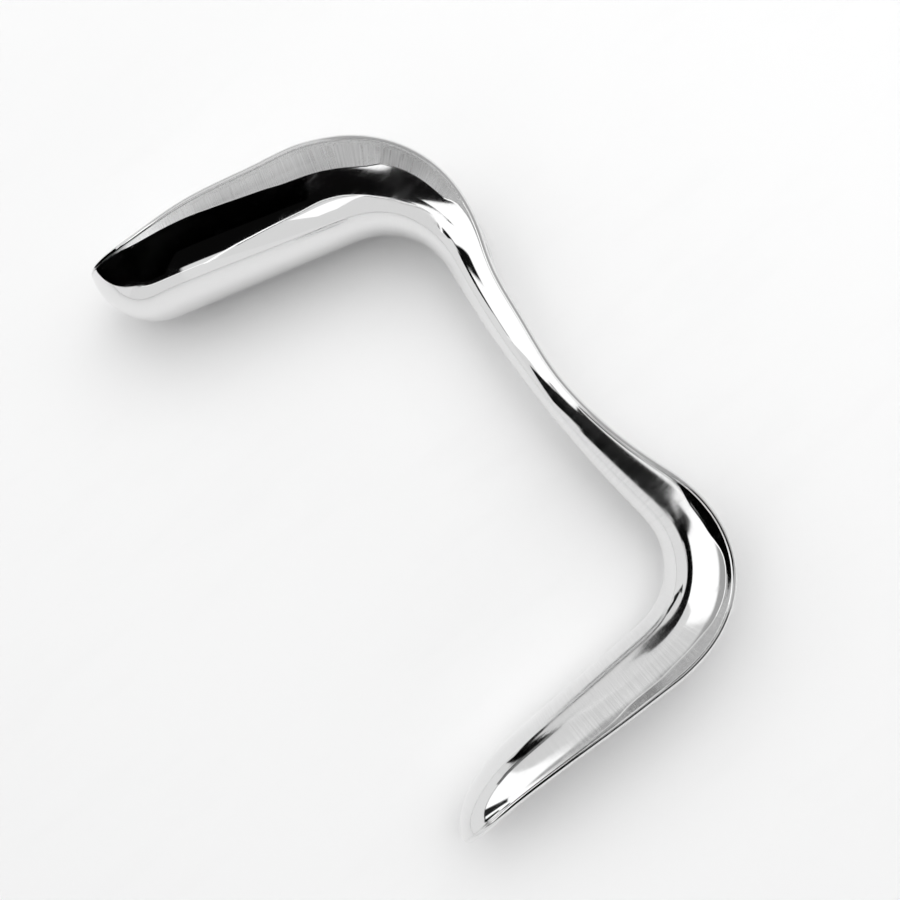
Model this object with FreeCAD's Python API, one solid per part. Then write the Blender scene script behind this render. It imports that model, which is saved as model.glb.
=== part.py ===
import FreeCAD, Part
from itertools import combinations
from math import atan2, cos, degrees, pi, radians, sin, sqrt
import os

# Double-ended vaginal retractor: a single piece of stainless steel sheet pressed into a channel.
# The channel runs without a seam from a small spoon-ended blade, round a heel, along a waisted
# handle, round a second heel and into a large spoon-ended blade. Both blades leave the handle
# on the same side, the channel opens away from the space between them, and its edge is rounded.
#
# It is drawn about the plane that halves it, XY, from the small blade's tip onwards, and then
# turned as it lies on a table: +Z up, handle along +Y, blades to -X, lowest point at z = 0.

Vector = FreeCAD.Vector

# Sheet, in mm like every length here
sheet_thickness = 2.2

# Keel line, along the bottom of the channel's convex face; turns are in degrees
small_blade_run = 72.0
small_heel_radius = 19.0
small_heel_turn = 93.5
handle_run = 84.0
handle_bow_radius = 340.0
large_heel_radius = 20.5
large_heel_turn = 81.0
large_blade_run = 71.5

# Length over which each tip rounds off, seen from the channel's open side and from beside it
small_tip_plan_round = 22.0
small_tip_side_round = 28.5
large_tip_plan_round = 27.0
large_tip_side_round = 16.0

# Depth of the channel, keel to rim, at the sections along the piece
small_tip_depth = 13.2
small_front_depth = 12.8
small_middle_depth = 13.8
small_back_depth = 15.2
small_root_depth = 16.2
small_heel_depth = 17.4
small_neck_depth = 13.2
handle_lower_depth = 8.4
handle_waist_depth = 7.2
handle_upper_depth = 8.4
large_neck_depth = 11.4
large_heel_depth = 18.6
large_root_depth = 23.4
large_back_depth = 23.0
large_middle_depth = 21.8
large_front_depth = 18.6
large_tip_depth = 18.0

# Width of the channel over its rims, at the same sections
small_tip_width = 27.6
small_front_width = 28.8
small_middle_width = 29.2
small_back_width = 28.8
small_root_width = 28.8
small_heel_width = 27.2
small_neck_width = 22.4
handle_lower_width = 16.8
handle_waist_width = 14.8
handle_upper_width = 16.0
large_neck_width = 22.4
large_heel_width = 34.4
large_root_width = 37.6
large_back_width = 38.8
large_middle_width = 40.4
large_front_width = 40.0
large_tip_width = 36.8

# Fullness of the channel's section: 2 is half an ellipse, more is squarer
small_blade_fullness = 2.2
handle_fullness = 2.15
large_blade_fullness = 2.5

# Where sections lie, as shares of the handle's run and of a blade's run back from its tip
handle_lower_place = 0.3
handle_waist_place = 0.5
handle_upper_place = 0.7
blade_front_place = 0.25
blade_back_place = 0.75

# Fineness of the net that the faces are drawn on; the turns are in degrees
net_pitch = 4.0
tip_row_turn = 9.0
column_turn = 11.25
face_run = 40.0


# Keel line

keel_runs = [
    (small_blade_run, 0.0),
    (small_heel_radius * radians(small_heel_turn), 1 / small_heel_radius),
    (handle_run, -1 / handle_bow_radius),
    (large_heel_radius * radians(large_heel_turn), 1 / large_heel_radius),
    (large_blade_run, 0.0),
]

run_ends = [0.0]
for run_length, run_curvature in keel_runs:
    run_ends.append(run_ends[-1] + run_length)
small_tip, small_root, small_neck, large_neck, large_root, large_tip = run_ends


def keel_place(distance):
    """Point of the keel line at a distance from the small tip, and the heading there."""
    point = Vector(0, 0, 0)
    heading = 0.0
    for length, curvature in keel_runs:
        step = min(distance, length)
        turn = curvature * step
        chord = 2 * sin(turn / 2) / curvature if curvature else step
        point += Vector(cos(heading + turn / 2), sin(heading + turn / 2), 0) * chord
        heading += turn
        distance -= step
    return point, heading


# Sections along the keel line, as (place, depth, width, fullness)

small_front = small_tip + blade_front_place * small_blade_run
small_middle = (small_tip + small_root) / 2
small_back = small_tip + blade_back_place * small_blade_run
small_heel = (small_root + small_neck) / 2
handle_lower = small_neck + handle_lower_place * handle_run
handle_waist = small_neck + handle_waist_place * handle_run
handle_upper = small_neck + handle_upper_place * handle_run
large_heel = (large_neck + large_root) / 2
large_back = large_tip - blade_back_place * large_blade_run
large_middle = (large_root + large_tip) / 2
large_front = large_tip - blade_front_place * large_blade_run

sections = [
    (small_tip, small_tip_depth, small_tip_width, small_blade_fullness),
    (small_front, small_front_depth, small_front_width, small_blade_fullness),
    (small_middle, small_middle_depth, small_middle_width, small_blade_fullness),
    (small_back, small_back_depth, small_back_width, small_blade_fullness),
    (small_root, small_root_depth, small_root_width, small_blade_fullness),
    (small_heel, small_heel_depth, small_heel_width, small_blade_fullness),
    (small_neck, small_neck_depth, small_neck_width, handle_fullness),
    (handle_lower, handle_lower_depth, handle_lower_width, handle_fullness),
    (handle_waist, handle_waist_depth, handle_waist_width, handle_fullness),
    (handle_upper, handle_upper_depth, handle_upper_width, handle_fullness),
    (large_neck, large_neck_depth, large_neck_width, handle_fullness),
    (large_heel, large_heel_depth, large_heel_width, large_blade_fullness),
    (large_root, large_root_depth, large_root_width, large_blade_fullness),
    (large_back, large_back_depth, large_back_width, large_blade_fullness),
    (large_middle, large_middle_depth, large_middle_width, large_blade_fullness),
    (large_front, large_front_depth, large_front_width, large_blade_fullness),
    (large_tip, large_tip_depth, large_tip_width, large_blade_fullness),
]


def chord_slope(start, end, column):
    """Slope of one column of the sections between two of them."""
    return (end[column] - start[column]) / (end[0] - start[0])


def fair_slope(index, column):
    """Slope of one column at a section, weighted between its two neighbours."""
    here = sections[index]
    if index == 0:
        return chord_slope(here, sections[1], column)
    before = sections[index - 1]
    if index == len(sections) - 1:
        return chord_slope(before, here, column)
    after = sections[index + 1]
    share = (here[0] - before[0]) / (after[0] - before[0])
    return (1 - share) * chord_slope(before, here, column) + share * chord_slope(here, after, column)


def faired(distance, column):
    """Value of one column at any distance, on a smooth curve through the sections."""
    index = max(i for i in range(len(sections) - 1) if i == 0 or sections[i][0] <= distance)
    start = sections[index]
    end = sections[index + 1]
    gap = end[0] - start[0]
    t = (distance - start[0]) / gap
    return (start[column] * (2 * t**3 - 3 * t**2 + 1)
            + end[column] * (3 * t**2 - 2 * t**3)
            + fair_slope(index, column) * gap * (t**3 - 2 * t**2 + t)
            + fair_slope(index + 1, column) * gap * (t**3 - t**2))


def rounded(reach, length):
    """Share of the full size that is left at a reach from a tip that rounds off over a length."""
    short = max(1 - reach / length, 0.0)
    return sqrt(max(1 - short**2, 0.0))


# Convex face of the channel

def convex_point(distance, swing):
    """Point of the convex face; the swing is 0 at the keel and a quarter turn at the rim."""
    point, heading = keel_place(distance)
    outward = Vector(sin(heading), -cos(heading), 0)
    reach_back = distance - small_tip
    reach_ahead = large_tip - distance
    plan_share = (rounded(reach_back, small_tip_plan_round)
                  * rounded(reach_ahead, large_tip_plan_round))
    side_share = (rounded(reach_back, small_tip_side_round)
                  * rounded(reach_ahead, large_tip_side_round))
    depth = faired(distance, 1)
    half_width = faired(distance, 2) / 2 * plan_share
    fullness = faired(distance, 3)
    across = max(sin(swing), 0.0)
    upright = max(cos(swing), 0.0)
    stretch = (across**fullness + upright**fullness)**(-1 / fullness)
    height = depth - depth * side_share * upright * stretch
    side = half_width * across * stretch
    return point + outward * height + Vector(0, 0, side)


difference_share = 0.01
swing_step = 0.001


def along_face(distance, swing):
    """Direction along the convex face at a constant swing, towards the large tip."""
    step = difference_share * min(distance - small_tip, large_tip - distance, net_pitch)
    return (convex_point(distance + step, swing) - convex_point(distance - step, swing)).normalize()


def convex_normal(distance, swing):
    """Unit normal of the convex face, towards the space between the blades."""
    if distance in (small_tip, large_tip):
        heading = keel_place(distance)[1]
        forward = Vector(cos(heading), sin(heading), 0)
        return forward if distance == large_tip else -forward
    along = along_face(distance, swing)
    if swing == 0:
        return Vector(-along.y, along.x, 0)
    across = (convex_point(distance, min(swing + swing_step, pi / 2))
              - convex_point(distance, swing - swing_step))
    return across.cross(along).normalize()


# Net of the faces. Its rows crowd towards the tips as on a circle, and its first and last gaps
# are a third of a span, as a cubic surface that ends on its net needs.

small_reach = max(small_tip_plan_round, small_tip_side_round)
large_reach = max(large_tip_plan_round, large_tip_side_round)
tip_spans = round(90 / tip_row_turn)
body_spans = round((large_tip - small_tip - small_reach - large_reach) / net_pitch)
length_spans = tip_spans + body_spans + tip_spans
section_spans = 2 * round(90 / column_turn)
face_spans = round(face_run / net_pitch)


def net_places(spans):
    """Places of a net's rows, counted in spans from one end to the other."""
    return [0, 1 / 3, *range(1, spans), spans - 1 / 3, spans]


def row_distance(place):
    """Distance along the keel line of a row's place."""
    if place < tip_spans:
        return small_tip + small_reach * (1 - cos(pi / 2 * place / tip_spans))
    if place > length_spans - tip_spans:
        return large_tip - large_reach * (1 - cos(pi / 2 * (length_spans - place) / tip_spans))
    share = (place - tip_spans) / body_spans
    return small_tip + small_reach + share * (large_tip - small_tip - small_reach - large_reach)


row_distances = [row_distance(place) for place in net_places(length_spans)]
half_swings = [pi * place / section_spans - pi / 2
               for place in net_places(section_spans) if place >= section_spans / 2]

# Poles of a half circle of radius 1, as two cubic arcs
arc_pull = 4 / 3 * (sqrt(2) - 1)
half_circle = [(1, 0), (1, arc_pull), (arc_pull, 1), (0, 1),
               (-arc_pull, 1), (-1, arc_pull), (-1, 0)]


def mirrored(point):
    """The point's twin on the other side of the plane that halves the piece."""
    return Vector(point.x, point.y, -point.z)


def rim_row(distance):
    """Poles across the rounded edge, from the convex face round to the concave one."""
    normal = convex_normal(distance, pi / 2)
    if distance == small_tip:
        along = Vector(0, 0, 1)
    elif distance == large_tip:
        along = Vector(0, 0, -1)
    else:
        along = along_face(distance, pi / 2)
    radius = sheet_thickness / 2
    centre = convex_point(distance, pi / 2) - normal * radius
    outward = along.cross(normal).normalize()
    return [centre + (normal * a + outward * b) * radius for a, b in half_circle]


def rim_net():
    """Net of the upper rim, which crosses the halving plane squarely at both tips."""
    net = [rim_row(distance) for distance in row_distances]
    for beside, tip in ((1, 0), (-2, -1)):
        net[beside] = [Vector(end.x, end.y, pole.z) for end, pole in zip(net[tip], net[beside])]
    return net


def skin_net(sheet_depth, edge):
    """Net of a face at a depth in the sheet, from the lower edge over the keel to the upper."""
    net = []
    for distance, end in zip(row_distances, edge):
        half = [convex_point(distance, swing) - convex_normal(distance, swing) * sheet_depth
                for swing in half_swings[:-1]]
        half.append(end)
        net.append([mirrored(pole) for pole in half[:0:-1]] + half)
    for beside, tip, distance in ((1, 0, small_tip), (-2, -1, large_tip)):
        normal = convex_normal(distance, 0)
        end = net[tip][0]
        net[beside] = [pole - normal * (pole - end).dot(normal) for pole in net[beside]]
    return net


def faces(net, across_mults):
    """Faces of the cubic surface on a net, one after another along the piece."""
    along_mults = [4] + [1] * (length_spans - 1) + [4]
    across_spans = len(across_mults) - 1
    whole = Part.BSplineSurface()
    whole.buildFromPolesMultsKnots(net, along_mults, across_mults, list(range(length_spans + 1)),
                                   list(range(across_spans + 1)), False, False, 3, 3)
    stretches = []
    for start in range(0, length_spans, face_spans):
        stretch = whole.copy()
        stretch.segment(start, min(start + face_spans, length_spans), 0, across_spans)
        stretches.append(stretch.toShape())
    return stretches


def channel():
    """The whole piece as one solid, lying on the plane that halves it."""
    upper_rim = rim_net()
    lower_rim = [[mirrored(pole) for pole in row] for row in upper_rim]
    convex_net = skin_net(0.0, [row[0] for row in upper_rim])
    concave_net = skin_net(sheet_thickness, [row[-1] for row in upper_rim])
    skin_mults = [4] + [1] * (section_spans - 1) + [4]
    rim_mults = [4, 3, 4]
    shell = Part.makeShell(faces(convex_net, skin_mults) + faces(concave_net, skin_mults)
                           + faces(upper_rim, rim_mults) + faces(lower_rim, rim_mults))
    shell.sewShape()
    solid = Part.makeSolid(shell)
    if solid.Volume < 0:
        solid.reverse()
    return solid


# Attitude on the table

def resting_normal(points, centre):
    """Upward normal of the plane through three of the points that carries a body's centre."""
    for corners in combinations(points, 3):
        a, b, c = corners
        normal = (b - a).cross(c - a)
        if normal.Length == 0:
            continue
        normal.normalize()
        if normal.z < 0:
            normal = -normal
        if any((point - a).dot(normal) < -contact_slack for point in points):
            continue
        sides = [(end - start).cross(centre - start).dot(normal)
                 for start, end in ((a, b), (b, c), (c, a))]
        if min(sides) > 0 or max(sides) < 0:
            return normal
    raise ValueError("no three rim points carry the piece")


contact_slack = 1e-6


def laid_down(solid):
    """The solid as it lies on a table, on the lower rim, with the handle along +Y."""
    rim_points = [mirrored(convex_point(distance, pi / 2)) for distance in row_distances]
    normal = resting_normal(rim_points, solid.CenterOfMass)
    level = FreeCAD.Rotation(normal, Vector(0, 0, 1))
    handle = level.multVec(keel_place(large_neck)[0] - keel_place(small_neck)[0])
    turn = FreeCAD.Rotation(Vector(0, 0, 1), 90 - degrees(atan2(handle.y, handle.x)))
    solid.Placement = FreeCAD.Placement(Vector(0, 0, 0), turn * level)
    box = solid.optimalBoundingBox(False)
    solid.translate(Vector(-box.Center.x, -box.Center.y, -box.ZMin))
    return solid


os.makedirs("parts", exist_ok=True)
retractor = laid_down(channel())
retractor.exportStep("parts/retractor_body.step")

box = retractor.optimalBoundingBox(False)
print(f"retractor_body: valid {retractor.isValid()}, volume {retractor.Volume:.0f} mm3,",
      f"box {box.XLength:.1f} x {box.YLength:.1f} x {box.ZLength:.1f} mm")
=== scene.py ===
import logging
from dataclasses import dataclass, field
from enum import Enum
from math import cos, hypot, pi, radians, sin, sqrt

import bmesh
import bpy
import numpy as np
from mathutils import Euler, Matrix, Vector


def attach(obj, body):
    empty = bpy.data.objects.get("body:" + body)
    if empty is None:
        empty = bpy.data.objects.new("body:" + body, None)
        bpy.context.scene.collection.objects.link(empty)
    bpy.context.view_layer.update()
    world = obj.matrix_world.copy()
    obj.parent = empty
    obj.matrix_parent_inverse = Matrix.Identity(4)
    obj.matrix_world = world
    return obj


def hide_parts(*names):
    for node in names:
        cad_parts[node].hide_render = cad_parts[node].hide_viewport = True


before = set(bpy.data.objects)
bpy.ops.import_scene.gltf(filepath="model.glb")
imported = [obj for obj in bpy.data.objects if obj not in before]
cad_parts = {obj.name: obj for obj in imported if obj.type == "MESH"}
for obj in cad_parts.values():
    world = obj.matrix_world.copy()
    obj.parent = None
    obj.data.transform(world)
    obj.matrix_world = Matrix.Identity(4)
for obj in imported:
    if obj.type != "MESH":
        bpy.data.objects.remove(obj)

# Looks of a double-ended vaginal retractor: one piece of polished stainless steel sheet, pressed
# into a channel. The piece is drawn about the plane that halves it, XY, from the small blade's tip
# onwards, and is then laid on the table. Lengths are in metres.

LOG = logging.getLogger("retractor")
MM = 0.001
NODE = "retractor_body"
SLOT = "polished_steel"


# Form of the channel


@dataclass(frozen=True)
class KeelRun:
    """One run of the keel line, a straight where the curvature is nought and else an arc."""

    length: float
    curvature: float = 0.0


@dataclass(frozen=True)
class Section:
    """Cross-section of the channel at one place of the keel line."""

    place: float
    depth: float
    width: float
    fullness: float


@dataclass(frozen=True)
class TipRound:
    """Lengths over which a blade's tip rounds off, seen from the open side and from beside."""

    plan: float
    side: float

    @property
    def reach(self) -> float:
        """Length of blade that the rounding takes up."""
        return max(self.plan, self.side)


def arc(radius: float, turn: float) -> KeelRun:
    """Run of the keel line round an arc.

    Args:
        radius: Radius of the arc, negative where it bows the other way.
        turn: Angle of the arc, in degrees.

    Returns:
        The run.
    """
    return KeelRun(abs(radius) * radians(turn), 1 / radius)


@dataclass
class ChannelForm:
    """Shape of the pressed sheet, from the small blade's tip to the large blade's.

    The values from runs on follow from the sizes before them. The probes are the small steps from
    which directions on the convex face are taken.
    """

    sheet: float = 2.2 * MM
    small_tip: TipRound = TipRound(22.0 * MM, 28.5 * MM)
    large_tip: TipRound = TipRound(27.0 * MM, 16.0 * MM)
    small_blade_run: float = 72.0 * MM
    handle_run: float = 84.0 * MM
    large_blade_run: float = 71.5 * MM
    small_heel_radius: float = 19.0 * MM
    small_heel_turn: float = 93.5
    large_heel_radius: float = 20.5 * MM
    large_heel_turn: float = 81.0
    handle_bow_radius: float = 340.0 * MM
    pitch: float = 4.0 * MM
    tip_spans: int = 10
    probe_share: float = 0.01
    probe_swing: float = 0.001
    runs: list[KeelRun] = field(init=False)
    sections: list[Section] = field(init=False)
    length: float = field(init=False)
    knots: np.ndarray = field(init=False)
    columns: np.ndarray = field(init=False)
    slopes: np.ndarray = field(init=False)
    body_spans: int = field(init=False)
    spans: int = field(init=False)

    def __post_init__(self) -> None:
        """Lays out the keel line and the sections along it."""
        self.runs = [
            KeelRun(self.small_blade_run),
            arc(self.small_heel_radius, self.small_heel_turn),
            KeelRun(self.handle_run, -1 / self.handle_bow_radius),
            arc(self.large_heel_radius, self.large_heel_turn),
            KeelRun(self.large_blade_run),
        ]
        ends = [0.0]
        for run in self.runs:
            ends.append(ends[-1] + run.length)
        tip, root, neck, far_neck, far_root, far_tip = ends
        self.length = far_tip
        # Place, then depth and width in millimetres, then fullness of the curve.
        rows = [
            (tip, 13.2, 27.6, 2.2),
            (tip + 0.25 * self.small_blade_run, 12.8, 28.8, 2.2),
            ((tip + root) / 2, 13.8, 29.2, 2.2),
            (tip + 0.75 * self.small_blade_run, 15.2, 28.8, 2.2),
            (root, 16.2, 28.8, 2.2),
            ((root + neck) / 2, 17.4, 27.2, 2.2),
            (neck, 13.2, 22.4, 2.15),
            (neck + 0.3 * self.handle_run, 8.4, 16.8, 2.15),
            (neck + 0.5 * self.handle_run, 7.2, 14.8, 2.15),
            (neck + 0.7 * self.handle_run, 8.4, 16.0, 2.15),
            (far_neck, 11.4, 22.4, 2.15),
            ((far_neck + far_root) / 2, 18.6, 34.4, 2.5),
            (far_root, 23.4, 37.6, 2.5),
            (far_tip - 0.75 * self.large_blade_run, 23.0, 38.8, 2.5),
            ((far_root + far_tip) / 2, 21.8, 40.4, 2.5),
            (far_tip - 0.25 * self.large_blade_run, 18.6, 40.0, 2.5),
            (far_tip, 18.0, 36.8, 2.5),
        ]
        self.sections = [Section(p, d * MM, w * MM, f) for p, d, w, f in rows]
        self.knots = np.array([s.place for s in self.sections])
        self.columns = np.array([(s.depth, s.width, s.fullness) for s in self.sections])
        chords = np.diff(self.columns, axis=0) / np.diff(self.knots)[:, None]
        share = (np.diff(self.knots)[:-1] / (self.knots[2:] - self.knots[:-2]))[:, None]
        inner = (1 - share) * chords[:-1] + share * chords[1:]
        self.slopes = np.vstack([chords[:1], inner, chords[-1:]])
        middle = self.length - self.small_tip.reach - self.large_tip.reach
        self.body_spans = round(middle / self.pitch)
        self.spans = self.body_spans + 2 * self.tip_spans

    def keel_place(self, distance: float) -> tuple[np.ndarray, float]:
        """Point of the keel line and the heading there.

        Args:
            distance: Distance along the keel line from the small tip.

        Returns:
            The point in the halving plane, and the heading in radians.
        """
        point = np.zeros(3)
        heading = 0.0
        for run in self.runs:
            step = min(distance, run.length)
            turn = run.curvature * step
            chord = 2 * sin(turn / 2) / run.curvature if run.curvature else step
            point += chord * np.array([cos(heading + turn / 2), sin(heading + turn / 2), 0.0])
            heading += turn
            distance -= step
        return point, heading

    def faired(self, distance: float) -> np.ndarray:
        """Depth, width and fullness at any distance, on smooth curves through the sections."""
        index = int(np.clip(np.searchsorted(self.knots, distance, "right") - 1,
                            0, len(self.knots) - 2))
        gap = self.knots[index + 1] - self.knots[index]
        t = (distance - self.knots[index]) / gap
        return (self.columns[index] * (2 * t**3 - 3 * t**2 + 1)
                + self.columns[index + 1] * (3 * t**2 - 2 * t**3)
                + self.slopes[index] * gap * (t**3 - 2 * t**2 + t)
                + self.slopes[index + 1] * gap * (t**3 - t**2))

    def rounding(self, distance: float) -> tuple[float, float]:
        """Shares of the full width and depth that the rounded tips leave at a distance."""
        plan = side = 1.0
        for reach, tip in ((distance, self.small_tip), (self.length - distance, self.large_tip)):
            plan *= sqrt(1 - max(1 - reach / tip.plan, 0.0)**2)
            side *= sqrt(1 - max(1 - reach / tip.side, 0.0)**2)
        return plan, side

    def convex_point(self, distance: float, swing: float) -> np.ndarray:
        """Point of the convex face.

        Args:
            distance: Distance along the keel line from the small tip.
            swing: Angle round the section, 0 at the keel and a quarter turn at the rim.

        Returns:
            The point.
        """
        point, heading = self.keel_place(distance)
        outward = np.array([sin(heading), -cos(heading), 0.0])
        plan, side = self.rounding(distance)
        depth, width, fullness = self.faired(distance)
        across, upright = max(sin(swing), 0.0), max(cos(swing), 0.0)
        stretch = (across**fullness + upright**fullness)**(-1 / fullness)
        point = point + outward * (depth - depth * side * upright * stretch)
        point[2] = width / 2 * plan * across * stretch
        return point

    def along(self, distance: float, swing: float) -> np.ndarray:
        """Direction along the convex face at a constant swing, towards the large tip."""
        step = self.probe_share * min(distance, self.length - distance, self.pitch)
        ahead = self.convex_point(distance + step, swing)
        chord = ahead - self.convex_point(distance - step, swing)
        return chord / np.linalg.norm(chord)

    def convex_normal(self, distance: float, swing: float) -> np.ndarray:
        """Unit normal of the convex face, towards the space between the blades."""
        if distance in (0.0, self.length):
            heading = self.keel_place(distance)[1]
            forward = np.array([cos(heading), sin(heading), 0.0])
            return forward if distance else -forward
        along = self.along(distance, swing)
        if swing == 0:
            return np.array([-along[1], along[0], 0.0])
        outer = self.convex_point(distance, min(swing + self.probe_swing, pi / 2))
        inner = self.convex_point(distance, swing - self.probe_swing)
        normal = np.cross(outer - inner, along)
        return normal / np.linalg.norm(normal)

    def row_distance(self, place: float) -> float:
        """Distance along the keel line of a row, counted in spans from the small tip."""
        small, large = self.small_tip.reach, self.large_tip.reach
        if place < self.tip_spans:
            return small * (1 - cos(pi / 2 * place / self.tip_spans))
        if place > self.spans - self.tip_spans:
            left = self.spans - place
            return self.length - large * (1 - cos(pi / 2 * left / self.tip_spans))
        share = (place - self.tip_spans) / self.body_spans
        return small + share * (self.length - small - large)


# Pattern coordinates that the mesh carries for its finish


class Pattern(Enum):
    """Names of the mesh's own attributes that the finish reads."""

    RUN = "keel_run"
    GIRTH = "girth"
    RIM = "rim_gap"
    SKIN = "skin"


@dataclass
class Retractor:
    """The whole piece: a channel with a small and a large blade and a waisted handle.

    Half a section of the mesh has half_spans columns round the skin and one more that lies
    rim_hold radians short of the rim, and then rim_steps round the rim. The tip_rows are the first
    rows from each tip, in spans. The piece lies on its lower rims after lie_turn and lie_shift.
    """

    form: ChannelForm = field(default_factory=ChannelForm)
    half_spans: int = 8
    rim_hold: float = 0.07
    rim_steps: int = 6
    tip_rows: tuple[float, ...] = (0.0, 0.06, 0.2, 0.5)
    levels: int = 2
    mirror_gap: float = 1e-7
    weld_gap: float = 1e-6
    lie_turn: tuple[float, float, float] = (1.730985, 1.595422, 3.625977)
    lie_shift: tuple[float, float, float] = (-0.0529813, -0.0777156, 0.0169616)

    def rows(self) -> list[float]:
        """Places of the mesh's rows, in spans, crowding where a tip closes."""
        spans = self.form.spans
        ahead = [spans - place for place in reversed(self.tip_rows)]
        return [*self.tip_rows, *map(float, range(1, spans)), *ahead]

    def swings(self) -> list[float]:
        """Angles of the skin's columns from the keel to beside the rim."""
        even = [pi / 2 * k / self.half_spans for k in range(self.half_spans)]
        return [*even, pi / 2 - self.rim_hold]

    def half_section(self, distance: float) -> list[np.ndarray]:
        """Points of half a section, from the convex keel over the rim to the concave keel.

        Args:
            distance: Distance along the keel line from the small tip.

        Returns:
            The points, in drawing coordinates.
        """
        form = self.form
        convex, concave = [], []
        for swing in self.swings():
            point = form.convex_point(distance, swing)
            convex.append(point)
            concave.append(point - form.convex_normal(distance, swing) * form.sheet)
        normal = form.convex_normal(distance, pi / 2)
        if distance == 0.0:
            along = np.array([0.0, 0.0, 1.0])
        elif distance == form.length:
            along = np.array([0.0, 0.0, -1.0])
        else:
            along = form.along(distance, pi / 2)
        outward = np.cross(along, normal)
        outward /= np.linalg.norm(outward)
        centre = form.convex_point(distance, pi / 2) - normal * form.sheet / 2
        step = pi / self.rim_steps
        # Smoothing draws a corner in by this much, so the rim ends up as thick as the sheet.
        radius = form.sheet / 2 * 3 / (2 + cos(step))
        rim = [centre + (normal * cos(k * step) + outward * sin(k * step)) * radius
               for k in range(self.rim_steps + 1)]
        return convex + rim + concave[::-1]

    def drawn(self) -> bmesh.types.BMesh:
        """Draws half the channel on a grid, with the coordinates of its finish, and mirrors it.

        Returns:
            The mesh, in drawing coordinates.
        """
        distances = [self.form.row_distance(place) for place in self.rows()]
        sections = [self.half_section(distance) for distance in distances]
        row_gaps, column_gaps = len(sections) - 1, len(sections[0]) - 1
        mesh = bmesh.new()
        names = {pattern: mesh.verts.layers.float.new(pattern.value) for pattern in Pattern}
        bmesh.ops.create_grid(mesh, x_segments=row_gaps, y_segments=column_gaps, size=1.0)
        first_rim = len(self.swings())
        last_rim = first_rim + self.rim_steps
        for vert in mesh.verts:
            row = round((vert.co.x + 1) / 2 * row_gaps)
            column = round((vert.co.y + 1) / 2 * column_gaps)
            section = sections[row]
            lengths = [hypot(*(b - a)) for a, b in zip(section, section[1:])]
            vert.co = Vector(section[column])
            vert[names[Pattern.RUN]] = distances[row]
            vert[names[Pattern.GIRTH]] = sum(lengths[:column])
            if column < first_rim:
                vert[names[Pattern.RIM]] = sum(lengths[column:first_rim])
                vert[names[Pattern.SKIN]] = 1.0
            elif column > last_rim:
                vert[names[Pattern.RIM]] = sum(lengths[last_rim:column])
                vert[names[Pattern.SKIN]] = -1.0
        bmesh.ops.mirror(mesh, geom=mesh.verts[:] + mesh.edges[:] + mesh.faces[:],
                         matrix=Matrix.Identity(4), merge_dist=self.mirror_gap, axis="Z")
        bmesh.ops.remove_doubles(mesh, verts=mesh.verts[:], dist=self.weld_gap)
        bmesh.ops.recalc_face_normals(mesh, faces=mesh.faces[:])
        return mesh

    def build(self) -> bpy.types.Object:
        """Builds the piece and lays it on the table."""
        mesh = self.drawn()
        turn = Euler(map(radians, self.lie_turn)).to_matrix().to_4x4()
        lay = Matrix.Translation(self.lie_shift) @ turn
        bmesh.ops.transform(mesh, matrix=lay, verts=mesh.verts[:])
        for face in mesh.faces:
            face.smooth = True
        piece = new_object("retractor", mesh)
        smooth = piece.modifiers.new("smooth", "SUBSURF")
        smooth.levels = smooth.render_levels = self.levels
        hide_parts(NODE)
        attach(piece, "root")
        return piece


# Wiring of shader nodes


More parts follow.
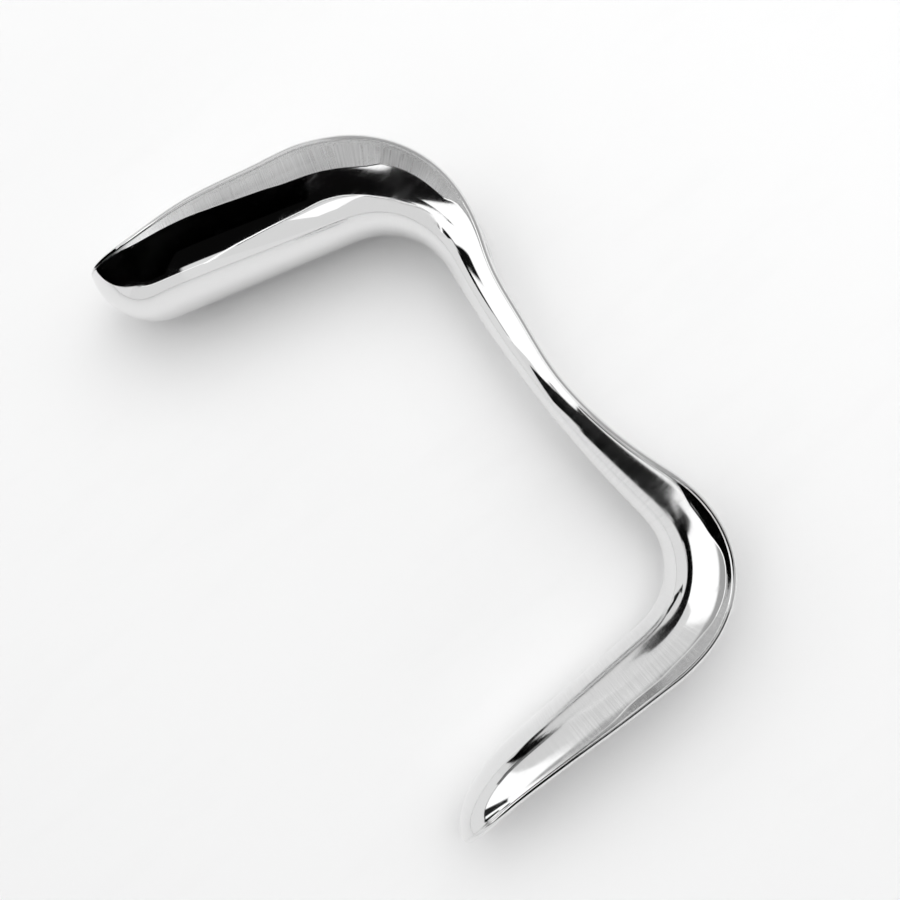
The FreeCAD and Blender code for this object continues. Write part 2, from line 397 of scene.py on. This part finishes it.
class Wiring:
    """Short way to place and link the nodes of one tree."""

    def __init__(self, tree: bpy.types.NodeTree) -> None:
        """Keeps the tree that is wired."""
        self.tree = tree

    def put(self, socket: bpy.types.NodeSocket, value: object) -> None:
        """Links a socket to an output, or sets it where the value is a plain one."""
        if isinstance(value, bpy.types.NodeSocket):
            self.tree.links.new(value, socket)
        else:
            socket.default_value = value

    def node(self, kind: str, inputs: dict[str | int, object] | None = None,
             **settings: object) -> bpy.types.Node:
        """Places a node.

        Args:
            kind: Type of the node, without its "ShaderNode".
            inputs: Values or outputs for its inputs, by name or place.
            settings: Properties of the node.

        Returns:
            The node.
        """
        node = self.tree.nodes.new("ShaderNode" + kind)
        for name, value in settings.items():
            setattr(node, name, value)
        for name, value in (inputs or {}).items():
            self.put(node.inputs[name], value)
        return node

    def math(self, operation: str, first: object, second: object = 0.5,
             third: object = 0.5) -> bpy.types.NodeSocket:
        """Output of a Math node."""
        inputs = {0: first, 1: second, 2: third}
        return self.node("Math", inputs, operation=operation).outputs[0]

    def stretch(self, vector: object, scales: tuple[float, float, float]) -> bpy.types.NodeSocket:
        """Output of a Vector Math node that multiplies a vector part by part."""
        return self.node("VectorMath", {0: vector, 1: scales}, operation="MULTIPLY").outputs[0]

    def grey(self, level: object) -> bpy.types.NodeSocket:
        """Output of a Combine Color node with the same level in each channel."""
        return self.node("CombineColor", {0: level, 1: level, 2: level}).outputs[0]

    def ramp(self, value: object, low: object, high: object, start: object = 0.0,
             end: object = 1.0) -> bpy.types.NodeSocket:
        """Output that rises smoothly from start to end while the value goes from low to high."""
        inputs = {"Value": value, "From Min": low, "From Max": high, "To Min": start, "To Max": end}
        return self.node("MapRange", inputs, interpolation_type="SMOOTHSTEP").outputs[0]

    def blend(self, share: object, first: object, second: object) -> bpy.types.NodeSocket:
        """Output of a Mix node for numbers."""
        return self.node("Mix", {0: share, 2: first, 3: second}, data_type="FLOAT").outputs[0]

    def noise(self, place: object, scale: float, detail: float = 2.0,
              rough: float = 0.5) -> bpy.types.NodeSocket:
        """Output of a Noise Texture, from about 0.2 to 0.8."""
        inputs = {"Vector": place, "Scale": scale, "Detail": detail, "Roughness": rough}
        return self.node("TexNoise", inputs).outputs["Fac"]

    def attribute(self, pattern: Pattern) -> bpy.types.NodeSocket:
        """Output of one of the mesh's own attributes."""
        return self.node("Attribute", attribute_name=pattern.value).outputs["Fac"]

    def group(self, tree: bpy.types.NodeTree, inputs: dict[str, object]) -> bpy.types.Node:
        """Places a node group."""
        node = self.node("Group", node_tree=tree)
        for name, value in inputs.items():
            self.put(node.inputs[name], value)
        return node

    def curve(self, value: object, points: tuple[tuple[float, float], ...], reach: float,
              top: float) -> bpy.types.NodeSocket:
        """Output of a curve through points.

        Args:
            value: Number that the curve is read at.
            points: Places and heights that the curve runs through.
            reach: Greatest place.
            top: Greatest height.

        Returns:
            The curve's height.
        """
        node = self.node("FloatCurve", {"Value": self.math("DIVIDE", value, reach)})
        line = node.mapping.curves[0].points
        for place, height in points[1:-1]:
            line.new(place / reach, height / top)
        for point, (place, height) in zip((line[0], line[-1]), (points[0], points[-1])):
            point.location = (place / reach, height / top)
        node.mapping.update()
        return self.math("MULTIPLY", node.outputs[0], top)


Sockets = dict[str, bpy.types.NodeSocket]


def new_group(name: str, inputs: tuple[str, ...], outputs: tuple[str, ...],
              vectors: tuple[str, ...] = ()) -> tuple[bpy.types.NodeTree, Wiring, Sockets, Sockets]:
    """Starts a shader node group.

    Args:
        name: Name of the group.
        inputs: Names of its inputs.
        outputs: Names of its outputs.
        vectors: Those of the names that carry vectors and not numbers.

    Returns:
        The group, its wiring, its input sockets and its output sockets.
    """
    tree = bpy.data.node_groups.new(name, "ShaderNodeTree")
    for names, way in ((inputs, "INPUT"), (outputs, "OUTPUT")):
        for socket in names:
            kind = "NodeSocketVector" if socket in vectors else "NodeSocketFloat"
            tree.interface.new_socket(socket, in_out=way, socket_type=kind)
    entry, leave = tree.nodes.new("NodeGroupInput"), tree.nodes.new("NodeGroupOutput")
    given = {socket: entry.outputs[socket] for socket in inputs}
    taken = {socket: leave.inputs[socket] for socket in outputs}
    return tree, Wiring(tree), given, taken


def new_material(name: str) -> tuple[bpy.types.Material, bpy.types.Node, Wiring]:
    """Starts a material.

    Args:
        name: Name of the material.

    Returns:
        The material, its Principled BSDF and its wiring.
    """
    material = bpy.data.materials.new(name)
    material.use_nodes = True
    return material, material.node_tree.nodes["Principled BSDF"], Wiring(material.node_tree)


def new_object(name: str, mesh: bmesh.types.BMesh) -> bpy.types.Object:
    """Turns a drawn mesh into an object of the scene, and frees it."""
    data = bpy.data.meshes.new(name)
    mesh.to_mesh(data)
    mesh.free()
    thing = bpy.data.objects.new(name, data)
    bpy.context.scene.collection.objects.link(thing)
    return thing


# Finishes


@dataclass(frozen=True)
class HandlingMarks:
    """Faint marks of handling, which steel and table top share."""

    cloud_detail: float = 4.0
    cloud_rough: float = 0.6
    streak_stretch: tuple[float, float, float] = (1.0, 6.0, 2.0)
    streak_scale: float = 1.3
    levels: tuple[float, float] = (0.24, 0.40)

    def group(self) -> bpy.types.NodeTree:
        """Builds the node group that puts out the mask Smear."""
        tree, wiring, given, taken = new_group(
            "handling_marks", inputs=("Place", "Size"), outputs=("Smear",), vectors=("Place",))
        scale = wiring.math("DIVIDE", 1.0, given["Size"])
        place = wiring.node("VectorMath", {0: given["Place"], "Scale": scale},
                            operation="SCALE").outputs[0]
        cloud = wiring.noise(place, 1.0, self.cloud_detail, self.cloud_rough)
        streak = wiring.noise(wiring.stretch(place, self.streak_stretch), self.streak_scale)
        smear = wiring.ramp(wiring.math("MULTIPLY", cloud, streak), *self.levels)
        wiring.put(taken["Smear"], smear)
        return tree


@dataclass(frozen=True)
class PolishedSteel:
    """Stainless steel: mirror polish, and satin from the belt beside the rim and at the heels.

    The strip's sizes and the places of the curves along the run are in millimetres, the places
    from the small blade's tip. A sway is how far a noise takes a value down and up.
    """

    colour: float = 0.82
    hair_shine: tuple[float, float] = (0.84, 1.06)
    mirror: float = 0.04
    satin: float = 0.30
    trough_wear: float = 0.6
    skin_edge: float = 0.4
    strip_edge: float = 0.35
    strip_limit: float = 10.0
    strip_widths: tuple[tuple[float, float], ...] = (
        (0.0, 0.6), (40.0, 0.6), (50.0, 1.0), (59.0, 2.2), (67.0, 2.4), (75.0, 3.0), (81.0, 2.2),
        (89.0, 1.6), (95.0, 3.2), (101.0, 2.0), (106.0, 0.7), (150.0, 0.4), (188.0, 0.6),
        (193.0, 1.4), (197.0, 4.2), (207.0, 5.7), (214.0, 7.8), (233.0, 6.1), (252.0, 3.8),
        (267.0, 1.9), (277.0, 0.8), (288.0, 0.5))
    brushing: tuple[tuple[float, float], ...] = (
        (0.0, 0.0), (30.0, 0.2), (50.0, 0.8), (70.0, 0.8), (84.0, 0.1), (97.0, 0.4),
        (104.0, 0.75), (125.0, 0.5), (150.0, 0.2), (165.0, 0.0), (190.0, 0.0), (200.0, 0.25),
        (212.0, 0.05), (288.0, 0.05))
    strip_polish: tuple[tuple[float, float], ...] = (
        (0.0, 0.6), (60.0, 0.7), (84.0, 0.6), (89.0, 0.12), (102.0, 0.12), (108.0, 0.6),
        (190.0, 0.6), (200.0, 1.0), (288.0, 1.0))
    brush_limit: float = 0.55
    strip_fall: float = 0.12
    strip_ridge: float = 0.02
    hair_pitch: float = 0.3 * MM
    hair_length: float = 14.0 * MM
    hair_detail: float = 3.0
    hair_rough: float = 0.65
    skin_shift: float = 7.0
    broad_stretch: tuple[float, float, float] = (0.09, 0.5, 1.0)
    noise_levels: tuple[float, float] = (0.3, 0.7)
    broad_sway: tuple[float, float] = (0.9, 1.1)
    hair_sway: tuple[float, float] = (0.85, 1.15)
    smear_size: float = 10.0 * MM
    smear_rise: float = 0.05
    hair_depth: float = 0.0006
    least_depth: float = 0.00005
    wave_size: float = 14.0 * MM
    wave_detail: float = 1.0
    wave_rough: float = 0.4
    wave_depth: float = 0.07

    def hair_noises(self, wiring: Wiring, run: object, girth: object,
                    skin: object) -> tuple[bpy.types.NodeSocket, bpy.types.NodeSocket]:
        """Noises of the belt's marks across the run.

        Args:
            wiring: Wiring of the material.
            run: Distance along the keel line.
            girth: Distance round the section.
            skin: 1 on the convex face, -1 on the concave face, 0 on the rim.

        Returns:
            The noise of single hairlines, and that of broad bundles of them.
        """
        place = wiring.node("CombineXYZ", {
            0: wiring.math("DIVIDE", run, self.hair_pitch),
            1: wiring.math("DIVIDE", girth, self.hair_length),
            2: wiring.math("MULTIPLY", skin, self.skin_shift)}).outputs[0]
        hairs = wiring.noise(place, 1.0, self.hair_detail, self.hair_rough)
        broad = wiring.noise(wiring.stretch(place, self.broad_stretch), 1.0)
        return hairs, broad

    def worked(self, wiring: Wiring, run: object, skin: object,
               strip: object) -> bpy.types.NodeSocket:
        """Mask of where the belt has left satin.

        Args:
            wiring: Wiring of the material.
            run: Distance along the keel line, in millimetres.
            skin: 1 on the convex face, -1 on the concave face, 0 on the rim.
            strip: Mask of the ground strip beside the rim.

        Returns:
            The mask, 0 at mirror polish and 1 at full satin.
        """
        reach = self.strip_widths[-1][0]
        brushed = wiring.curve(run, self.brushing, reach, 1.0)
        polish = wiring.curve(run, self.strip_polish, reach, 1.0)
        ground = wiring.math("MULTIPLY", strip, polish)
        beside = wiring.math("SUBTRACT", self.brush_limit, strip)
        belt = wiring.math("MAXIMUM", ground, wiring.math("MULTIPLY", brushed, beside))
        trough = wiring.ramp(skin, 0.0, -self.skin_edge)
        return wiring.math("MAXIMUM", belt, wiring.math("MULTIPLY", trough, self.trough_wear))

    def height(self, wiring: Wiring, place: object, grain: object, inside: object,
               convex: object) -> bpy.types.NodeSocket:
        """Height of the surface, for its bump.

        Args:
            wiring: Wiring of the material.
            place: Object coordinates.
            grain: Height of the hairlines.
            inside: Distance into the strip from its inner edge, in millimetres.
            convex: Mask of the convex face.

        Returns:
            The height in millimetres.
        """
        waves = wiring.noise(place, 1 / self.wave_size, self.wave_detail, self.wave_rough)
        height = wiring.math("MULTIPLY_ADD", waves, self.wave_depth, grain)
        facet = wiring.math("MAXIMUM", wiring.math("MULTIPLY", convex, inside), 0.0)
        height = wiring.math("MULTIPLY_ADD", facet, -self.strip_fall, height)
        gap = wiring.math("ABSOLUTE", wiring.math("MULTIPLY", convex, inside))
        ridge = wiring.ramp(gap, self.strip_edge, 0.0, 0.0, self.strip_ridge)
        return wiring.math("ADD", height, wiring.math("MULTIPLY", ridge, convex))

    def material(self, marks: bpy.types.NodeTree) -> bpy.types.Material:
        """Builds the steel's material.

        Args:
            marks: Node group for marks of handling.

        Returns:
            The material.
        """
        material, shader, wiring = new_material(SLOT)
        run, girth, gap, skin = (wiring.attribute(pattern) for pattern in Pattern)
        place = wiring.node("TexCoord").outputs["Object"]
        run_mm, gap_mm = (wiring.math("DIVIDE", value, MM) for value in (run, gap))
        width = wiring.curve(run_mm, self.strip_widths, self.strip_widths[-1][0], self.strip_limit)
        inside = wiring.math("SUBTRACT", width, gap_mm)
        convex = wiring.ramp(skin, 0.0, self.skin_edge)
        strip = wiring.math("MULTIPLY", convex,
                            wiring.ramp(inside, -self.strip_edge, self.strip_edge))
        worked = self.worked(wiring, run_mm, skin, strip)
        hairs, broad = self.hair_noises(wiring, run, girth, skin)

        level = wiring.blend(worked, self.mirror, self.satin)
        for noise, sway in ((broad, self.broad_sway), (hairs, self.hair_sway)):
            level = wiring.math("MULTIPLY", level, wiring.ramp(noise, *self.noise_levels, *sway))
        faint = wiring.group(marks, {"Place": place, "Size": self.smear_size})
        wiring.put(shader.inputs["Roughness"],
                   wiring.math("MULTIPLY_ADD", faint.outputs["Smear"], self.smear_rise, level))

        low, high = (self.colour * share for share in self.hair_shine)
        shine = wiring.ramp(hairs, *self.noise_levels, low, high)
        wiring.put(shader.inputs["Base Color"],
                   wiring.grey(wiring.blend(worked, self.colour, shine)))
        shader.inputs["Metallic"].default_value = 1.0

        depth = wiring.math("MULTIPLY_ADD", worked, self.hair_depth, self.least_depth)
        height = self.height(wiring, place, wiring.math("MULTIPLY", hairs, depth), inside, convex)
        bump = wiring.node("Bump", {"Height": height, "Distance": MM})
        wiring.put(shader.inputs["Normal"], bump.outputs[0])
        return material


@dataclass(frozen=True)
class TableTop:
    """Plain pale table that the piece lies on."""

    colour: float = 0.86
    roughness: float = 0.55
    smear_size: float = 60.0 * MM
    smear_shade: float = -0.006
    smear_rise: float = 0.1
    grain_size: float = 0.8 * MM
    grain_detail: float = 3.0
    grain_depth: float = 0.004 * MM
    half_size: float = 4.0
    squares: int = 8

    def material(self, marks: bpy.types.NodeTree) -> bpy.types.Material:
        """Builds the table's material."""
        material, shader, wiring = new_material("table_top")
        place = wiring.node("TexCoord").outputs["Object"]
        smear = wiring.group(marks, {"Place": place, "Size": self.smear_size}).outputs["Smear"]
        tone = wiring.math("MULTIPLY_ADD", smear, self.smear_shade, self.colour)
        wiring.put(shader.inputs["Base Color"], wiring.grey(tone))
        wiring.put(shader.inputs["Roughness"],
                   wiring.math("MULTIPLY_ADD", smear, self.smear_rise, self.roughness))
        grain = wiring.noise(place, 1 / self.grain_size, self.grain_detail)
        bump = wiring.node("Bump", {"Height": grain, "Distance": self.grain_depth})
        wiring.put(shader.inputs["Normal"], bump.outputs[0])
        return material

    def build(self, marks: bpy.types.NodeTree) -> bpy.types.Object:
        """Builds the table top at z = 0."""
        mesh = bmesh.new()
        bmesh.ops.create_grid(mesh, x_segments=self.squares, y_segments=self.squares,
                              size=self.half_size)
        table = new_object("table", mesh)
        table.data.materials.append(self.material(marks))
        return table


# Studio


@dataclass(frozen=True)
class Panel:
    """Pale or dark panel of the studio's room, far off, as the piece reflects it.

    The bearing is counted in degrees from the -X axis, positive towards -Y, and the height is the
    angle above the table top.
    """

    bearing: tuple[float, float]
    height: tuple[float, float]
    edge: float
    level: float


@dataclass(frozen=True)
class Room:
    """World round the table, as polished steel mirrors it. Each panel lies over those before it."""

    dark: float = 0.003
    walls: tuple[Panel, ...] = (
        Panel((-190.0, -98.0), (-100.0, 66.0), 6.0, 0.45),
        Panel((128.0, 190.0), (-100.0, 66.0), 6.0, 0.45),
        Panel((-190.0, 190.0), (-100.0, 23.0), 1.0, 0.8),
        Panel((-190.0, -103.0), (64.0, 100.0), 4.0, 0.30),
        Panel((82.0, 190.0), (64.0, 100.0), 4.0, 0.6),
        Panel((-103.0, -18.0), (76.0, 100.0), 6.0, 0.42),
        Panel((-68.0, 10.0), (-100.0, 29.0), 1.5, 0.85),
        Panel((64.0, 127.0), (-100.0, 32.0), 2.0, 0.85),
        Panel((22.0, 82.0), (23.0, 24.3), 0.6, 1.2),
    )
    boxes: tuple[Panel, ...] = (
        Panel((-112.0, -70.0), (31.0, 77.0), 3.0, 0.75),
        Panel((-72.0, -25.0), (30.0, 79.0), 2.5, 1.25),
        Panel((-11.7, 31.0), (31.0, 88.0), 2.0, 1.25),
        Panel((-6.0, 6.0), (28.0, 51.0), 3.0, 0.005),
        Panel((-23.7, -11.7), (30.0, 62.0), 2.0, 0.02),
        Panel((-25.0, -11.0), (63.0, 88.0), 2.0, 1.25),
        Panel((-108.0, -60.0), (24.0, 31.0), 1.5, 0.03),
        Panel((-108.0, -60.0), (27.0, 28.2), 1.0, 0.5),
    )

    @staticmethod
    def aim(bearing: float, height: float) -> Vector:
        """Direction from the table towards a bearing and height, in degrees."""
        around, up = radians(bearing), radians(height)
        return Vector((-cos(up) * cos(around), -cos(up) * sin(around), sin(up)))

    @staticmethod
    def panel_group() -> bpy.types.NodeTree:
        """Builds the node group for the mask of one panel."""
        inputs = ("Bearing", "Height", "Left", "Right", "Low", "High", "Edge")
        tree, wiring, given, taken = new_group("panel", inputs=inputs, outputs=("Mask",))
        mask: object = 1.0
        for angle, start, end in (("Bearing", "Left", "Right"), ("Height", "Low", "High")):
            for near, far in ((given[angle], given[start]), (given[end], given[angle])):
                depth = wiring.math("DIVIDE", wiring.math("SUBTRACT", near, far), given["Edge"])
                mask = wiring.math("MULTIPLY", mask, wiring.ramp(depth, -0.5, 0.5))
        wiring.put(taken["Mask"], mask)
        return tree

    def build(self) -> bpy.types.World:
        """Builds the world."""
        world = bpy.data.worlds.new("room")
        world.use_nodes = True
        wiring = Wiring(world.node_tree)
        way = wiring.node("TexCoord").outputs["Generated"]
        east, north, up = wiring.node("SeparateXYZ", {0: way}).outputs[:3]
        south, west = (wiring.math("MULTIPLY", value, -1.0) for value in (north, east))
        bearing = wiring.math("DEGREES", wiring.math("ARCTAN2", south, west))
        height = wiring.math("DEGREES", wiring.math("ARCSINE", up))
        panel_group = self.panel_group()
        level: object = self.dark
        for panel in (*self.walls, *self.boxes):
            (left, right), (low, high) = panel.bearing, panel.height
            mask = wiring.group(panel_group, {
                "Bearing": bearing, "Height": height, "Left": left, "Right": right,
                "Low": low, "High": high, "Edge": panel.edge})
            level = wiring.blend(mask.outputs[0], level, panel.level)
        wiring.put(world.node_tree.nodes["Background"].inputs["Color"], wiring.grey(level))
        bpy.context.scene.world = world
        return world


@dataclass(frozen=True)
class PaintedReflectionCard:
    """Flat pale or dark card beside the piece, a painted reflection that only the polished steel
    shows.

    Its places and sizes are in millimetres. The directions needn't have unit length.
    """

    name: str
    middle: tuple[float, float, float]
    facing: tuple[float, float, float]
    along: tuple[float, float, float]
    size: tuple[float, float]
    level: float

    def material(self) -> bpy.types.Material:
        """Builds the card's even glow, which paints a pale reflection, or black, which paints a
        dark reflection where its level is nought.
        """
        material, shader, _ = new_material(self.name)
        shader.inputs["Base Color"].default_value = (0.0, 0.0, 0.0, 1.0)
        shader.inputs["Specular IOR Level"].default_value = 0.0
        shader.inputs["Emission Color"].default_value = (1.0, 1.0, 1.0, 1.0)
        shader.inputs["Emission Strength"].default_value = self.level
        return material

    def build(self) -> bpy.types.Object:
        """Hangs the card."""
        normal = Vector(self.facing).normalized()
        side = Vector(self.along).cross(normal).normalized()
        turn = Matrix((normal.cross(side), side, normal)).transposed().to_4x4()
        length, breadth = self.size
        stretch = Matrix.Diagonal((length * MM, breadth * MM, 1.0, 1.0))
        place = Matrix.Translation(Vector(self.middle) * MM) @ turn @ stretch
        mesh = bmesh.new()
        bmesh.ops.create_grid(mesh, x_segments=1, y_segments=1, size=0.5)
        bmesh.ops.transform(mesh, matrix=place, verts=mesh.verts[:])
        card = new_object(self.name, mesh)
        card.data.materials.append(self.material())
        # Hidden from camera, diffuse and shadow rays, so the card only paints a reflection in the
        # steel.
        card.visible_camera = card.visible_diffuse = card.visible_shadow = False
        return card


@dataclass(frozen=True)
class SoftBox:
    """Square area lamp that faces the piece and that polished steel doesn't show.

    Its aim is a bearing and a height in degrees, and its power is in watts.
    """

    name: str
    aim: tuple[float, float]
    distance: float
    size: float
    power: float

    def build(self) -> bpy.types.Object:
        """Hangs the lamp."""
        data = bpy.data.lights.new(self.name, "AREA")
        data.size = self.size
        data.energy = self.power
        lamp = bpy.data.objects.new(self.name, data)
        lamp.location = Room.aim(*self.aim) * self.distance
        lamp.rotation_euler = (-lamp.location).to_track_quat("-Z", "Y").to_euler()
        lamp.visible_glossy = False
        bpy.context.scene.collection.objects.link(lamp)
        return lamp


@dataclass(frozen=True)
class Studio:
    """Camera, lamps, room, and cards that paint pale and dark reflections into the steel."""

    camera_place: tuple[float, float, float] = (0.0446796, -0.0638520, 0.4117449)
    camera_turn: tuple[float, float, float] = (3.20542, 9.26708, -37.53834)
    focal_share: float = 1503.623 / 900
    sensor_width: float = 36.0
    near_clip: float = 10.0 * MM
    room: Room = Room()
    lamps: tuple[SoftBox, ...] = (
        SoftBox("main_soft_box", (-172.0, 54.0), 1.5, 1.3, 7.2),
        SoftBox("overhead_box", (-128.0, 68.0), 1.3, 1.3, 7.6),
    )
    painted_reflection_cards: tuple[PaintedReflectionCard, ...] = (
        # Black cards at level nought paint dark reflections.
        PaintedReflectionCard("tip_card", (-56.1, 73.1, 65.5),
             (0.69, -0.154, -0.707), (-0.319, 0.809, -0.488), (78.0, 39.0), 0.0),
        PaintedReflectionCard("tip_foot_card", (-57.0, 93.6, 44.0),
             (0.887, -0.462, 0.0), (0.356, 0.683, -0.64), (50.0, 24.0), 0.0),
        PaintedReflectionCard("tip_top_card", (-27.2, 74.8, 85.0),
             (0.0, 0.0, -1.0), (0.924, -0.383, 0.0), (96.0, 37.0), 0.0),
        PaintedReflectionCard("handle_card", (25.4, -35.0, 47.6),
             (0.622, -0.161, -0.766), (0.212, -1.0, 0.22), (34.0, 31.0), 0.0),
        PaintedReflectionCard("handle_wedge_card", (20.6, -14.3, 39.4),
             (0.622, -0.161, -0.766), (0.477, -0.699, 0.533), (24.0, 16.0), 0.0),
        PaintedReflectionCard("rim_card", (62.0, -64.2, 65.3),
             (-0.419, -0.055, -0.906), (-0.044, -0.999, 0.0), (40.0, 28.0), 0.0),
        # Glowing cards paint pale reflections, and the thin heel line card a painted highlight
        # line.
        PaintedReflectionCard("neck_card", (36.0, 6.3, 80.6),
             (0.196, 0.41, -0.891), (-0.044, -0.999, 0.0), (34.0, 44.0), 1.25),
        PaintedReflectionCard("neck_low_card", (6.2, 7.2, 74.4),
             (0.196, 0.41, -0.891), (-0.044, -0.999, 0.0), (24.0, 22.0), 1.25),
        PaintedReflectionCard("heel_card", (-1.3, -7.5, 78.6),
             (0.609, 0.793, 0.0), (0.417, -0.320, 0.85), (80.0, 45.0), 0.8),
        PaintedReflectionCard("heel_line_card", (-17.9, 5.3, 91.7),
             (0.609, 0.793, 0.0), (0.417, -0.320, 0.85), (80.0, 2.4), 1.3),
    )

    def camera(self) -> bpy.types.Object:
        """Sets the camera where the photograph was taken from."""
        data = bpy.data.cameras.new("camera")
        data.sensor_width = self.sensor_width
        data.lens = data.sensor_width * self.focal_share
        data.clip_start = self.near_clip
        camera = bpy.data.objects.new("camera", data)
        camera.location = self.camera_place
        camera.rotation_euler = tuple(map(radians, self.camera_turn))
        bpy.context.scene.collection.objects.link(camera)
        bpy.context.scene.camera = camera
        return camera

    def build(self) -> None:
        """Builds the whole studio."""
        self.camera()
        self.room.build()
        for item in (*self.lamps, *self.painted_reflection_cards):
            item.build()
        bpy.context.scene.view_settings.view_transform = "Standard"


def main() -> None:
    """Builds the retractor, its table and the studio."""
    logging.basicConfig(level=logging.INFO, format="%(name)s: %(message)s")
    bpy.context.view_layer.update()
    marks = HandlingMarks().group()
    piece = Retractor().build()
    piece.data.materials.append(PolishedSteel().material(marks))
    LOG.info("%s: %d faces before smoothing", piece.name, len(piece.data.polygons))
    table = TableTop().build(marks)
    LOG.info("%s: under the piece", table.name)
    Studio().build()


if __name__ == "__main__":
    main()
